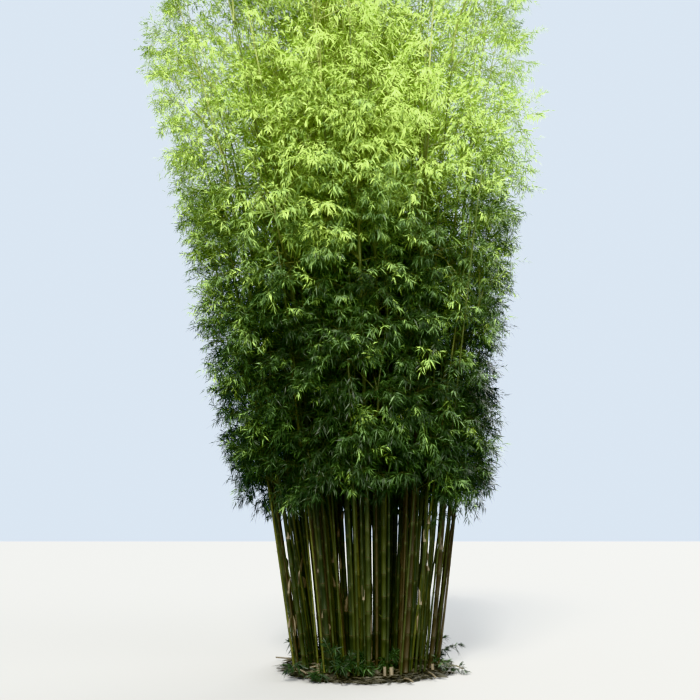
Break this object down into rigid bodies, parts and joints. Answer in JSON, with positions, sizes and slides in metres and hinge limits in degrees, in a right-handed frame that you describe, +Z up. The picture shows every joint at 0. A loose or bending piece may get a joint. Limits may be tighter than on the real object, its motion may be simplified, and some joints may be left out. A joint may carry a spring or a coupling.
{
  "type": "bamboo clump",
  "caption": "Tall clump of clumping bamboo rooted in the ground, with close leaning culms, bare at the foot, under a dense feathery crown that widens upwards.",
  "frame": {"origin": "middle of the flat cut under the rootstock, at ground level", "axes": "+Z up along the clump, -Y towards the side that the picture shows, +X to that view's right"},
  "size_m": [5.7887, 5.7425, 10.5742],
  "materials": {
    "rootstock": "rough brown rootstock with old stubs and dry straw-coloured sheaths",
    "culm": "smooth dark green to olive bamboo culm, yellower and waxy in places, ringed at its nodes",
    "lower_foliage": "dark green narrow leaves in drooping fans",
    "middle_foliage": "mid green narrow leaves in drooping fans",
    "plume": "bright yellow-green narrow leaves in upright feathery plumes"
  },
  "bodies": {
    "root": {"rootstock": "rootstock", "culm_01": "culm", "culm_02": "culm", "culm_03": "culm", "culm_04": "culm", "culm_05": "culm", "culm_06": "culm", "culm_07": "culm", "culm_08": "culm", "culm_09": "culm", "culm_10": "culm", "culm_11": "culm", "culm_12": "culm", "culm_13": "culm", "culm_14": "culm", "culm_15": "culm", "culm_16": "culm", "culm_17": "culm", "culm_18": "culm", "culm_19": "culm", "culm_20": "culm", "culm_21": "culm", "culm_22": "culm", "culm_23": "culm", "culm_24": "culm", "culm_knot_1": "culm", "culm_knot_2": "culm", "culm_knot_3": "culm", "culm_knot_4": "culm", "culm_knot_5": "culm", "culm_knot_6": "culm", "culm_knot_7": "culm", "lower_foliage_01": "lower_foliage", "lower_foliage_02": "lower_foliage", "lower_foliage_03": "lower_foliage", "lower_foliage_04": "lower_foliage", "lower_foliage_05": "lower_foliage", "middle_foliage_01": "middle_foliage", "middle_foliage_02": "middle_foliage", "middle_foliage_03": "middle_foliage", "middle_foliage_04": "middle_foliage", "middle_foliage_05": "middle_foliage", "middle_foliage_06": "middle_foliage", "plume_01": "plume", "plume_02": "plume", "plume_03": "plume", "plume_04": "plume", "plume_05": "plume", "plume_06": "plume", "plume_07": "plume", "plume_08": "plume", "plume_09": "plume", "plume_10": "plume", "plume_11": "plume", "plume_12": "plume", "plume_13": "plume", "plume_14": "plume", "plume_15": "plume", "plume_16": "plume", "plume_17": "plume"}
  },
  "joints": []
}
